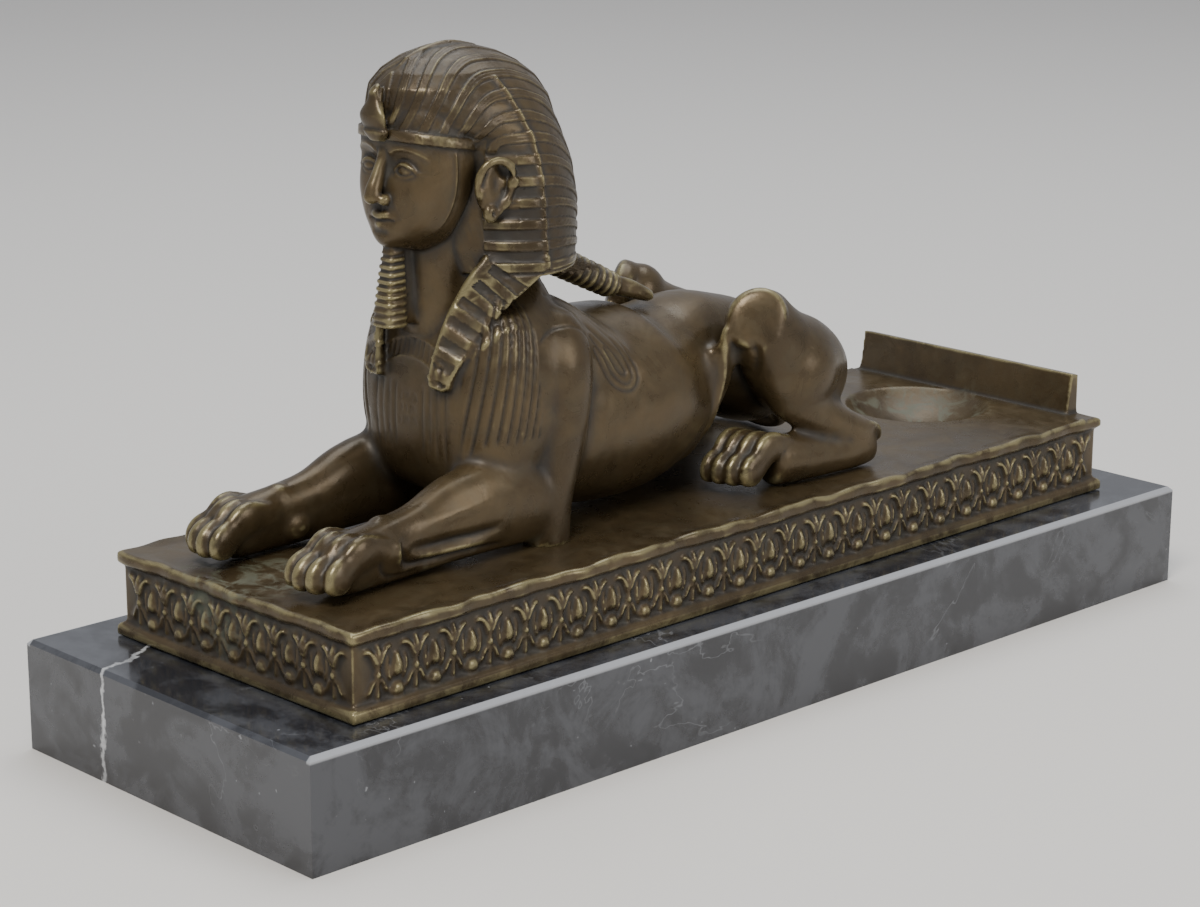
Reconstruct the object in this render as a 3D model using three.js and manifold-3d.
// Recumbent sphinx of cast bronze on its bronze plinth and polished marble base.
// Millimetres, +Z up. The sphinx looks along -Y, and its left flank is at +X.
import * as THREE from 'three';
import { mergeVertices } from 'three/addons/utils/BufferGeometryUtils.js';
import Module from 'manifold-3d';

const wasm = await Module();
wasm.setup();

// ---- driving dimensions -------------------------------------------------
const SEAT_GAP = 0.3;            // hairline joint between two pieces
const MARBLE = { length: 330, width: 115, height: 29.5, bevel: 1.1 };
const PLINTH = {
  length: 290.6,
  width: 92.2,
  height: 22,
  turn: THREE.MathUtils.degToRad(0.8),   // the bronze sits slightly askew on the marble
  rimThick: 3.1,
  rimOverhang: 1.3,
  footThick: 3.4,
  footOverhang: 1.9,
};
const DISH = { x: -2.6, y: 118.2, radius: 21.4, depth: 9 };
const WALL = {
  xLeft: -44,
  xRight: 37,
  yFoot: 139.8,
  yTop: 142,
  yBack: 145.3,
  heightFront: 12.2,
  heightBack: 11.5,
};
const BAND = { longPitch: 11.9, longCount: 24, shortPitch: 10.8, shortCount: 8, proud: 1 };

const FORELEG = { x: 20.9, halfWidth: 6.7 };
const HIND = { x: 24.8 };
// the headdress by height: half-width at the side ridge, the ridge's place along Y,
// and the reach behind and before it
const NEMES_RINGS = [
  { z: 65.5, w: 27, ridge: -64, back: 22.6, front: 16 },
  { z: 77, w: 26.4, ridge: -64, back: 25.4, front: 18 },
  { z: 86, w: 25.4, ridge: -64, back: 26.4, front: 19 },
  { z: 96, w: 24, ridge: -64, back: 24.6, front: 20 },
  { z: 105.6, w: 21.6, ridge: -65, back: 21.4, front: 20 },
  { z: 107.6, w: 21, ridge: -66, back: 22, front: 28.4 },
  { z: 112.6, w: 19.5, ridge: -68.4, back: 23.4, front: 26.4 },
  { z: 117, w: 17, ridge: -70.6, back: 22.6, front: 23.8 },
  { z: 120.5, w: 14, ridge: -71.7, back: 19.2, front: 19.4 },
  { z: 123.4, w: 10, ridge: -72.2, back: 13.4, front: 13.6 },
  { z: 125.6, w: 4.4, ridge: -72.6, back: 6.2, front: 6.4 },
];
const STRIPE = { pitch: 3.6, depth: 0.4 };
const NEMES_SIDES = 12;
const BREAST = { sides: 28, squareness: 3.5, groove: 0.022 };   // groove as a share of the reach
const BEARD = { topZ: 77, bottomZ: 56.5, wTop: 2.3, wBottom: 4, dTop: 2.5, dBottom: 3.9 };

// ---- solids from three.js geometry -------------------------------------
function solid(geometry) {
  const bare = geometry.index ? geometry.toNonIndexed() : geometry.clone();
  bare.deleteAttribute('normal');
  bare.deleteAttribute('uv');
  const merged = mergeVertices(bare, 1e-4);
  const mesh = new wasm.Mesh({
    numProp: 3,
    vertProperties: new Float32Array(merged.attributes.position.array),
    triVerts: new Uint32Array(merged.index.array),
  });
  return new wasm.Manifold(mesh);
}

function join(solids) {
  return solids.reduce((whole, piece) => whole.add(piece));
}

function geometryOf(manifold) {
  const mesh = manifold.getMesh();
  const geometry = new THREE.BufferGeometry();
  geometry.setAttribute('position', new THREE.BufferAttribute(mesh.vertProperties, 3));
  geometry.setIndex(new THREE.BufferAttribute(mesh.triVerts, 1));
  const flat = geometry.toNonIndexed();
  flat.computeVertexNormals();
  return flat;
}

// A closed skin through oval rings strung along a path. One station is
// { x, y, z, w, d }: ring centre, half-width across X and half-depth square to it.
// shape(angle, station) may return a factor that flutes or squares the ring.
function loft(stations, sides, shape = () => 1) {
  const last = stations.length - 1;
  const geometry = new THREE.CylinderGeometry(1, 1, 1, sides, last, false);
  const position = geometry.attributes.position;
  const centres = stations.map((s) => new THREE.Vector3(s.x, s.y, s.z));
  const corner = new THREE.Vector3();
  for (let i = 0; i < position.count; i += 1) {
    corner.fromBufferAttribute(position, i);
    const ring = Math.round((0.5 - corner.y) * last);
    const station = stations[ring];
    const ahead = centres[Math.min(ring + 1, last)].clone();
    const along = ahead.sub(centres[Math.max(ring - 1, 0)]).normalize();
    const across = new THREE.Vector3(1, 0, 0);
    across.addScaledVector(along, -across.dot(along)).normalize();
    const deep = new THREE.Vector3().crossVectors(along, across);
    const reach = Math.hypot(corner.x, corner.z);
    const angle = Math.atan2(corner.z, corner.x);
    const factor = reach > 0.5 ? shape(angle, station) : 0;
    const point = centres[ring].clone();
    point.addScaledVector(across, Math.cos(angle) * factor * station.w);
    point.addScaledVector(deep, Math.sin(angle) * factor * station.d);
    position.setXYZ(i, point.x, point.y, point.z);
  }
  return solid(geometry);
}

// how far a rounded square reaches at an angle, beside the circle of the same half-width
function squared(angle, power) {
  const sum = Math.abs(Math.cos(angle)) ** power + Math.abs(Math.sin(angle)) ** power;
  return 1 / sum ** (1 / power);
}

function ball({ x, y, z, rx, ry, rz }, sides = 10, rings = 7) {
  const geometry = new THREE.SphereGeometry(1, sides, rings);
  geometry.rotateX(Math.PI / 2);
  geometry.scale(rx, ry, rz);
  geometry.translate(x, y, z);
  return solid(geometry);
}

// the same form on the left (+X) and on the right (-X) of the body
function bothSides(make) {
  return join([make(1), make(-1)]);
}

function slab(width, length, bottom, top, round) {
  const half = { w: width / 2 - round, l: length / 2 - round };
  const outline = new THREE.Shape();
  outline.moveTo(-half.w, -half.l);
  outline.lineTo(half.w, -half.l);
  outline.lineTo(half.w, half.l);
  outline.lineTo(-half.w, half.l);
  outline.closePath();
  const geometry = new THREE.ExtrudeGeometry(outline, {
    depth: top - bottom - 2 * round,
    bevelEnabled: round > 0,
    bevelSize: round,
    bevelThickness: round,
    bevelSegments: 2,
  });
  geometry.translate(0, 0, bottom + round);
  return solid(geometry);
}

// ---- marble base --------------------------------------------------------
function marbleSolid() {
  const outline = new THREE.Shape();
  const w = MARBLE.width / 2 - MARBLE.bevel;
  const l = MARBLE.length / 2 - MARBLE.bevel;
  outline.moveTo(-w, -l);
  outline.lineTo(w, -l);
  outline.lineTo(w, l);
  outline.lineTo(-w, l);
  outline.closePath();
  const geometry = new THREE.ExtrudeGeometry(outline, {
    depth: MARBLE.height - MARBLE.bevel,
    bevelEnabled: true,
    bevelSize: MARBLE.bevel,
    bevelThickness: MARBLE.bevel,
    bevelSegments: 1,
  });
  const block = solid(geometry);
  // the lower bevel is sawn off, so that the block stands on its full underside
  const sawn = new THREE.BoxGeometry(MARBLE.width * 2, MARBLE.length * 2, MARBLE.height);
  sawn.translate(0, 0, -MARBLE.height / 2);
  return block.subtract(solid(sawn));
}

// ---- plinth with its lotus band, dish and rear wall ----------------------
function lotusOutline() {
  const outline = new THREE.Shape();
  outline.moveTo(-0.5, 3.6);
  outline.lineTo(0.5, 3.6);
  outline.lineTo(1, 10.4);
  outline.lineTo(3.4, 16.6);
  outline.lineTo(0, 17.9);
  outline.lineTo(-3.4, 16.6);
  outline.lineTo(-1, 10.4);
  outline.closePath();
  return outline;
}

// a motif of the band, standing on a wall that faces -Y, at x along the wall
function lotus(x) {
  const geometry = new THREE.ExtrudeGeometry(lotusOutline(), {
    depth: BAND.proud * 2,
    bevelEnabled: false,
  });
  geometry.rotateX(Math.PI / 2);
  geometry.translate(x, BAND.proud, 0);
  return solid(geometry);
}

function boss(x, z, halfWidth, halfHeight, sides) {
  const geometry = new THREE.ConeGeometry(1, 2, sides, 1);
  geometry.rotateY(Math.PI / 2);
  geometry.rotateX(Math.PI / 2);
  geometry.scale(halfWidth, -BAND.proud * 1.5, halfHeight);
  geometry.index.array.reverse();
  geometry.translate(x, 0.4, z);
  return solid(geometry);
}

function band(count, pitch, wallDistance, turn) {
  const motifs = [];
  for (let i = 0; i < count; i += 1) {
    const x = (i - (count - 1) / 2) * pitch;
    motifs.push(lotus(x));
  }
  for (let i = 1; i < count; i += 1) {
    const x = (i - count / 2) * pitch;
    motifs.push(boss(x, 11.8, 2.5, 3.3, 4));
    motifs.push(boss(x, 5.5, 2.9, 2, 3));
  }
  const quarter = THREE.MathUtils.radToDeg(turn);
  return join(motifs).translate([0, -wallDistance, 0]).rotate([0, 0, quarter]);
}

function rearWall() {
  const outline = new THREE.Shape();
  outline.moveTo(WALL.yFoot, PLINTH.height - 1);
  outline.lineTo(WALL.yBack, PLINTH.height - 1);
  outline.lineTo(WALL.yBack, PLINTH.height + WALL.heightBack);
  outline.lineTo(WALL.yTop, PLINTH.height + WALL.heightFront);
  outline.closePath();
  const geometry = new THREE.ExtrudeGeometry(outline, {
    depth: WALL.xRight - WALL.xLeft,
    bevelEnabled: false,
  });
  // the outline is drawn in (Y, Z) and pulled along X
  geometry.applyMatrix4(new THREE.Matrix4().set(
    0, 0, 1, WALL.xLeft,
    1, 0, 0, 0,
    0, 1, 0, 0,
    0, 0, 0, 1,
  ));
  return solid(geometry);
}

function dishCutter() {
  const sphereRadius = (DISH.radius ** 2 + DISH.depth ** 2) / (2 * DISH.depth);
  const geometry = new THREE.SphereGeometry(sphereRadius, 22, 18);
  geometry.rotateX(Math.PI / 2);
  geometry.translate(DISH.x, DISH.y, PLINTH.height - DISH.depth + sphereRadius);
  return solid(geometry);
}

function plinthSolid() {
  const wallWidth = PLINTH.width - 2 * PLINTH.rimOverhang;
  const wallLength = PLINTH.length - 2 * PLINTH.rimOverhang;
  const footWidth = wallWidth + 2 * PLINTH.footOverhang;
  const footLength = wallLength + 2 * PLINTH.footOverhang;
  const body = join([
    slab(wallWidth, wallLength, 0, PLINTH.height - 1, 0),
    slab(PLINTH.width, PLINTH.length, PLINTH.height - PLINTH.rimThick, PLINTH.height, 0.6),
    slab(footWidth, footLength, 0, PLINTH.footThick, 1.5),
    band(BAND.longCount, BAND.longPitch, wallWidth / 2, Math.PI / 2),
    band(BAND.longCount, BAND.longPitch, wallWidth / 2, -Math.PI / 2),
    band(BAND.shortCount, BAND.shortPitch, wallLength / 2, 0),
    band(BAND.shortCount, BAND.shortPitch, wallLength / 2, Math.PI),
  ]);
  return body.subtract(dishCutter()).add(rearWall());
}

// ---- the sphinx ----------------------------------------------------------
// breast and shoulders: rings stacked upwards, fluted by the feather grooves
function breast() {
  const flute = (angle) => {
    const step = Math.round((angle / Math.PI) * (BREAST.sides / 2));
    const groove = step % 2 === 0 ? 0 : BREAST.groove;
    return squared(angle, BREAST.squareness) * (1 - groove);
  };
  return loft([
    { x: 0, y: -68, z: 13, w: 20, d: 12 },
    { x: 0, y: -69, z: 19, w: 25, d: 16.5 },
    { x: 0, y: -69, z: 30, w: 28.8, d: 18.4 },
    { x: 0, y: -68.6, z: 41, w: 29, d: 18.4 },
    { x: 0, y: -67.4, z: 50, w: 28, d: 17.6 },
    { x: 0, y: -66, z: 57, w: 25.6, d: 16.6 },
    { x: 0, y: -65.6, z: 62.5, w: 20.5, d: 14.6 },
    { x: 0, y: -68, z: 68, w: 12.5, d: 13 },
  ], BREAST.sides, flute);
}

function trunk() {
  return loft([
    { x: 0, y: -72, z: 36, w: 20, d: 17 },
    { x: 0, y: -60, z: 33, w: 25.5, d: 22.5 },
    { x: 0, y: -45, z: 28.8, w: 26.4, d: 26 },
    { x: 0, y: -30, z: 26.8, w: 26, d: 26.6 },
    { x: 0, y: -15, z: 27, w: 25.4, d: 25.8 },
    { x: 0, y: -5, z: 29, w: 23.6, d: 23.4 },
    { x: 0, y: 3, z: 33.4, w: 21, d: 18.2 },
    { x: 0, y: 8, z: 36.6, w: 17, d: 14.4 },
    { x: 0, y: 14, z: 37, w: 14.6, d: 12.8 },
    { x: 0, y: 25, z: 31, w: 17, d: 15.4 },
    { x: 0, y: 35, z: 25.6, w: 17, d: 15.4 },
    { x: 0, y: 43, z: 21.4, w: 14, d: 13 },
    { x: 0, y: 49.5, z: 18, w: 8.5, d: 8 },
  ], 16);
}

function foreleg(side) {
  const x = side * FORELEG.x;
  const w = FORELEG.halfWidth;
  const upperArm = loft([
    { x: x + side * 2, y: -50, z: 50, w: 3.5, d: 5 },
    { x: x + side * 1.5, y: -51, z: 44, w: 5.4, d: 8.6 },
    { x: x + side * 1.4, y: -53.5, z: 32, w: 5.4, d: 8.4 },
    { x: x + side * 1, y: -57.5, z: 18, w: 4.6, d: 6.8 },
    { x, y: -60.5, z: 0, w: 4.2, d: 5.6 },
  ], 8);
  const forearm = loft([
    { x, y: -56, z: 7.5, w: w * 0.7, d: 6.8 },
    { x, y: -66, z: 11, w: w * 0.9, d: 11 },
    { x, y: -80, z: 13, w: w + 0.4, d: 12.6 },
    { x, y: -94, z: 11, w, d: 11 },
    { x, y: -106, z: 8.6, w: w * 0.92, d: 8.6 },
    { x, y: -116, z: 8.4, w: w * 0.94, d: 8.4 },
    { x, y: -126, z: 8.2, w: w * 1.04, d: 8.2 },
    { x, y: -133, z: 7.4, w: w * 0.98, d: 7.4 },
  ], 8);
  const toes = [-1.5, -0.5, 0.5, 1.5].map((slot) => {
    const reach = 135.4 - Math.abs(slot) * 1.1;
    return loft([
      { x: x + slot * 3.3, y: -reach + 8, z: 9.6, w: 2.2, d: 5 },
      { x: x + slot * 3.5, y: -reach, z: 9.2, w: 2.3, d: 5.6 },
      { x: x + slot * 3.4, y: -reach - 4.6, z: 4.2, w: 2, d: 4.2 },
    ], 5);
  });
  return join([upperArm, forearm, ...toes]);
}

function hindLeg(side) {
  const x = side * HIND.x;
  const thigh = loft([
    { x: x - side * 9, y: 46, z: 19, w: 8, d: 8 },
    { x: x - side * 4, y: 40.5, z: 25.4, w: 11.5, d: 13.6 },
    { x: x - side * 1.5, y: 32.5, z: 30.6, w: 11.2, d: 14.6 },
    { x: x - side * 0.5, y: 25, z: 36.5, w: 9.4, d: 12.4 },
    { x, y: 19, z: 43, w: 7.6, d: 9.2 },
    { x, y: 15.5, z: 47.5, w: 5.6, d: 6 },
  ], 10);
  const kneeCap = ball({ x: x + side * 0.6, y: 15.4, z: 47.6, rx: 7, ry: 7, rz: 7.8 }, 8, 6);
  const shank = loft([
    { x: x + side * 2.5, y: 24, z: 26, w: 5, d: 7 },
    { x: x + side * 4.6, y: 37, z: 16.5, w: 5.2, d: 6 },
    { x: x + side * 6, y: 48, z: 11.4, w: 4.8, d: 4.6 },
    { x: x + side * 6.4, y: 55.4, z: 8.6, w: 4, d: 4 },
  ], 8);
  const foot = loft([
    { x: x + side * 5.8, y: 57.6, z: 6, w: 3.4, d: 4.8 },
    { x: x + side * 5.8, y: 51, z: 5.2, w: 4.8, d: 5.2 },
    { x: x + side * 5, y: 37, z: 5.2, w: 5.6, d: 5.2 },
    { x: x + side * 3.6, y: 26, z: 6.8, w: 6.6, d: 6.8 },
    { x: x + side * 1.8, y: 16, z: 8, w: 7, d: 8 },
    { x: x + side * 0.6, y: 10.5, z: 7.4, w: 6.4, d: 7.4 },
  ], 8);
  const toes = [-1.5, -0.5, 0.5, 1.5].map((slot) => {
    const toeX = x + side * (0.6 + slot * 3.4);
    const tip = 5.6 + slot * 1.2 + Math.abs(slot) * 0.6;
    return loft([
      { x: toeX, y: tip + 10, z: 9.4, w: 2.2, d: 4.6 },
      { x: toeX, y: tip + 2, z: 8, w: 2.2, d: 5.2 },
      { x: toeX, y: tip - 1.6, z: 3.4, w: 1.8, d: 3.4 },
    ], 5);
  });
  return join([thigh, kneeCap, shank, foot, ...toes]);
}

// the tail leaves the rump and lies round the right haunch, away from the open side
function tail() {
  return loft([
    { x: 0, y: 46, z: 16, w: 3.6, d: 3.6 },
    { x: -3, y: 56, z: 8, w: 3.2, d: 3.2 },
    { x: -14, y: 63, z: 3.4, w: 3.4, d: 2.9 },
    { x: -28, y: 66, z: 2.9, w: 3.6, d: 2.7 },
    { x: -38.5, y: 59, z: 2.9, w: 3, d: 2.6 },
    { x: -39.6, y: 42, z: 2.9, w: 2.7, d: 2.6 },
    { x: -38.6, y: 28, z: 3.3, w: 3.2, d: 3 },
    { x: -38, y: 18, z: 2.2, w: 1.6, d: 1.8 },
  ], 8);
}

function nemesRing(z) {
  const above = NEMES_RINGS.findIndex((ring) => ring.z > z);
  const upper = NEMES_RINGS[above];
  const lower = NEMES_RINGS[above - 1];
  const share = (z - lower.z) / (upper.z - lower.z);
  const mix = (key) => THREE.MathUtils.lerp(lower[key], upper[key], share);
  return { w: mix('w'), ridge: mix('ridge'), back: mix('back'), front: mix('front') };
}

function nemes() {
  const stations = [];
  const top = NEMES_RINGS[NEMES_RINGS.length - 1].z;
  for (let z = NEMES_RINGS[0].z; z < top; z += STRIPE.pitch / 2) {
    const ring = nemesRing(z);
    const groove = stations.length % 2 === 0 ? 0 : STRIPE.depth;
    stations.push({
      z,
      y: ring.ridge,
      w: ring.w - groove,
      back: ring.back - groove,
      front: ring.front - groove,
    });
  }
  const last = stations.length - 1;
  const geometry = new THREE.CylinderGeometry(1, 1, 1, NEMES_SIDES, last, false);
  const position = geometry.attributes.position;
  for (let i = 0; i < position.count; i += 1) {
    const across = position.getX(i);
    const behind = -position.getZ(i);
    const station = stations[Math.round((position.getY(i) + 0.5) * last)];
    const reach = behind > 0 ? station.back : station.front;
    position.setXYZ(i, across * station.w, station.y + behind * reach, station.z);
  }
  return solid(geometry);
}

function head() {
  const skull = loft([
    { x: 0, y: -89, z: 76.4, w: 5.4, d: 7.4 },
    { x: 0, y: -86, z: 80, w: 10.6, d: 11.4 },
    { x: 0, y: -84, z: 86, w: 13.8, d: 13 },
    { x: 0, y: -82.5, z: 93, w: 15.6, d: 13.8 },
    { x: 0, y: -81.5, z: 100, w: 16, d: 14.6 },
    { x: 0, y: -81, z: 107, w: 15.6, d: 14.6 },
    { x: 0, y: -80, z: 113, w: 13.4, d: 13 },
  ], 12);
  const nose = loft([
    { x: 0, y: -95, z: 101.4, w: 1.5, d: 1 },
    { x: 0, y: -96.4, z: 96, w: 1.6, d: 1.8 },
    { x: 0, y: -98, z: 91.4, w: 2.7, d: 2.8 },
    { x: 0, y: -97, z: 89, w: 2.4, d: 2 },
  ], 8);
  const chin = ball({ x: 0, y: -93.4, z: 79.6, rx: 4.6, ry: 4.2, rz: 3.4 }, 8, 5);
  const lips = ball({ x: 0, y: -94.8, z: 85.2, rx: 4.6, ry: 2.8, rz: 1.9 }, 8, 4);
  const cheeks = bothSides((side) => ball({
    x: side * 8.6, y: -90.4, z: 91.5, rx: 5, ry: 5, rz: 5.4,
  }, 8, 5));
  const brows = bothSides((side) => ball({
    x: side * 6.2, y: -92, z: 101.8, rx: 5, ry: 2.8, rz: 1.3,
  }, 8, 4));
  const eyes = bothSides((side) => ball({
    x: side * 6.4, y: -92.6, z: 98, rx: 3.4, ry: 2.6, rz: 1.5,
  }, 8, 4));
  return join([skull, nose, chin, lips, cheeks, brows, eyes]);
}

function ear(side) {
  const shell = ball({ x: side * 19.6, y: -74.6, z: 92.6, rx: 2.4, ry: 4.6, rz: 7.2 }, 8, 5);
  const hollow = ball({ x: side * 22.4, y: -75, z: 94, rx: 1.6, ry: 2.9, rz: 4.6 }, 7, 4);
  const root = ball({ x: side * 17, y: -76, z: 92, rx: 3.6, ry: 4, rz: 5 }, 6, 4);
  return join([shell, root]).subtract(hollow);
}

function browBand() {
  const geometry = new THREE.CylinderGeometry(1, 1, 2.6, 18, 1);
  geometry.rotateX(Math.PI / 2);
  geometry.scale(16.9, 15.6, 1);
  geometry.rotateX(THREE.MathUtils.degToRad(9));
  geometry.translate(0, -81, 106.6);
  return solid(geometry);
}

function cobra() {
  const hood = loft([
    { x: 0, y: -95.6, z: 105, w: 1.6, d: 1.6 },
    { x: 0, y: -96.8, z: 109, w: 3, d: 2 },
    { x: 0, y: -96.6, z: 113, w: 2.8, d: 2 },
    { x: 0, y: -94.6, z: 117.5, w: 1.5, d: 1.8 },
  ], 8);
  const body = loft([
    { x: 0, y: -94.6, z: 116, w: 1.2, d: 1.2 },
    { x: 0.3, y: -92.6, z: 118.6, w: 1.2, d: 1.4 },
    { x: 1, y: -89, z: 120.8, w: 1.2, d: 1.3 },
    { x: -0.8, y: -84, z: 123.6, w: 1.1, d: 1.1 },
    { x: 0, y: -78, z: 125.2, w: 0.9, d: 0.9 },
  ], 6);
  return join([hood, body]);
}

function beard() {
  const ribs = 6;
  const stations = [];
  for (let i = 0; i <= ribs * 2; i += 1) {
    const down = i / (ribs * 2);
    const groove = i % 2 === 0 ? 0 : 0.3;
    stations.push({
      x: 0,
      y: -91.6 - down * 0.8,
      z: BEARD.topZ - down * (BEARD.topZ - BEARD.bottomZ),
      w: THREE.MathUtils.lerp(BEARD.wTop, BEARD.wBottom, down) - groove,
      d: THREE.MathUtils.lerp(BEARD.dTop, BEARD.dBottom, down) - groove,
    });
  }
  // a thin wall of metal ties the beard to the neck
  const tie = loft([
    { x: 0, y: -86, z: 78, w: 1.5, d: 5 },
    { x: 0, y: -85.4, z: 68, w: 1.5, d: 5.4 },
    { x: 0, y: -85, z: 57.4, w: 1.5, d: 5.6 },
  ], 6);
  return loft(stations, 8, (angle) => squared(angle, 4)).add(tie);
}

function neck() {
  return loft([
    { x: 0, y: -80, z: 82, w: 10.6, d: 9 },
    { x: 0, y: -78, z: 74, w: 10, d: 9.4 },
    { x: 0, y: -76, z: 66, w: 11.4, d: 11 },
    { x: 0, y: -73, z: 58, w: 14, d: 13 },
  ], 10);
}

// a cloth end of the headdress, with ladder bars, falling from the side ridge to the breast
function lappet(side) {
  const bars = 9;
  const thick = 2.6;
  const groove = 0.35;
  const inner = new THREE.CatmullRomCurve3([
    new THREE.Vector3(side * 14, -78, 76),
    new THREE.Vector3(side * 11.4, -82.6, 66),
    new THREE.Vector3(side * 9.6, -86, 55),
    new THREE.Vector3(side * 9.2, -87.8, 43.4),
  ]);
  const outer = new THREE.CatmullRomCurve3([
    new THREE.Vector3(side * 27, -64.6, 71),
    new THREE.Vector3(side * 23, -74, 64),
    new THREE.Vector3(side * 18.4, -83.6, 54),
    new THREE.Vector3(side * 16, -87.2, 43.4),
  ]);
  const steps = bars * 2;
  const geometry = new THREE.BoxGeometry(1, 1, 1, 1, 1, steps);
  const position = geometry.attributes.position;
  for (let i = 0; i < position.count; i += 1) {
    const step = Math.round((position.getZ(i) + 0.5) * steps);
    const down = step / steps;
    const from = inner.getPoint(down);
    const to = outer.getPoint(down);
    const out = new THREE.Vector3(to.y - from.y, from.x - to.x, 0).normalize();
    const edge = position.getX(i) > 0 ? to : from;
    const lift = position.getY(i) > 0 ? thick / 2 - (step % 2) * groove : -thick / 2;
    edge.addScaledVector(out, side * lift);
    position.setXYZ(i, edge.x, edge.y, edge.z);
  }
  if (side < 0) {
    geometry.index.array.reverse();
  }
  return solid(geometry);
}

function queue() {
  const rings = 10;
  const stations = [];
  for (let i = 0; i <= rings * 2; i += 1) {
    const along = i / (rings * 2);
    const groove = i % 2 === 0 ? 0 : 0.45;
    stations.push({
      x: 0,
      y: THREE.MathUtils.lerp(-44, -13.4, along),
      z: THREE.MathUtils.lerp(70.6, 55.8, along),
      w: 3.3 - groove,
      d: 3.1 - groove,
    });
  }
  return loft(stations, 6);
}

function figureSolid() {
  const whole = join([
    breast(),
    trunk(),
    bothSides(foreleg),
    bothSides(hindLeg),
    tail(),
    nemes(),
    neck(),
    head(),
    bothSides(ear),
    browBand(),
    cobra(),
    beard(),
    bothSides(lappet),
    queue(),
  ]);
  // paws, elbows and heels are levelled where they stand on the plinth
  const below = new THREE.BoxGeometry(PLINTH.width, PLINTH.length, 20);
  below.translate(0, 0, -10);
  return whole.subtract(solid(below));
}

// ---- the scene graph -----------------------------------------------------
const bronzeColour = new THREE.Color(0x77624a);
const plinthColour = new THREE.Color(0x685742);
const marbleColour = new THREE.Color(0x35373c);

function piece(name, manifold, colour, roughness, metalness) {
  const material = new THREE.MeshStandardMaterial({ color: colour, roughness, metalness });
  const mesh = new THREE.Mesh(geometryOf(manifold), material);
  mesh.name = name;
  return mesh;
}

const marbleBase = piece('marble_base', marbleSolid(), marbleColour, 0.2, 0);

const bronzePlinth = piece('bronze_plinth', plinthSolid(), plinthColour, 0.42, 0.9);

const sphinxFigure = piece('sphinx_figure', figureSolid(), bronzeColour, 0.4, 0.9);
sphinxFigure.position.z = PLINTH.height + SEAT_GAP;

const bronze = new THREE.Group();
bronze.add(bronzePlinth);
bronze.add(sphinxFigure);
bronze.position.z = MARBLE.height + SEAT_GAP;
bronze.rotation.z = PLINTH.turn;

const group = new THREE.Group();
group.add(marbleBase);
group.add(bronze);

export default group;
